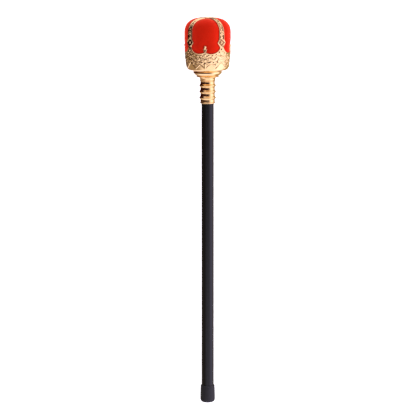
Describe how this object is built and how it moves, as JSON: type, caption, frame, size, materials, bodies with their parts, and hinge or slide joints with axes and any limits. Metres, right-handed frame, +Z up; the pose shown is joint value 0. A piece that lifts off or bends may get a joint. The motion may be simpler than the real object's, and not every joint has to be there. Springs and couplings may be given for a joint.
{
  "type": "sceptre",
  "caption": "Costume sceptre lying down: slim black rod with a rubber tip, a ribbed gold collar and a gold arched crown with a puffed red lining.",
  "frame": {"origin": "on the surface the sceptre lies on, under the middle of its bounding box", "axes": "+Y runs along the sceptre towards the crown, +Z is up; the axis rises 2.5 degrees towards the crown"},
  "size_m": [0.064, 0.5298, 0.063],
  "materials": {
    "gold_moulding": "plastic metallised in mirror-bright gold",
    "red_flock": "matt red flocking",
    "gold_collar": "plastic metallised in mirror-bright gold",
    "black_shaft": "satin black",
    "black_rubber": "matt moulded rubber"
  },
  "bodies": {
    "root": {"crown": "gold_moulding", "red_cap": "red_flock", "ribbed_collar": "gold_collar", "shaft": "black_shaft", "ferrule": "black_rubber"}
  },
  "joints": []
}
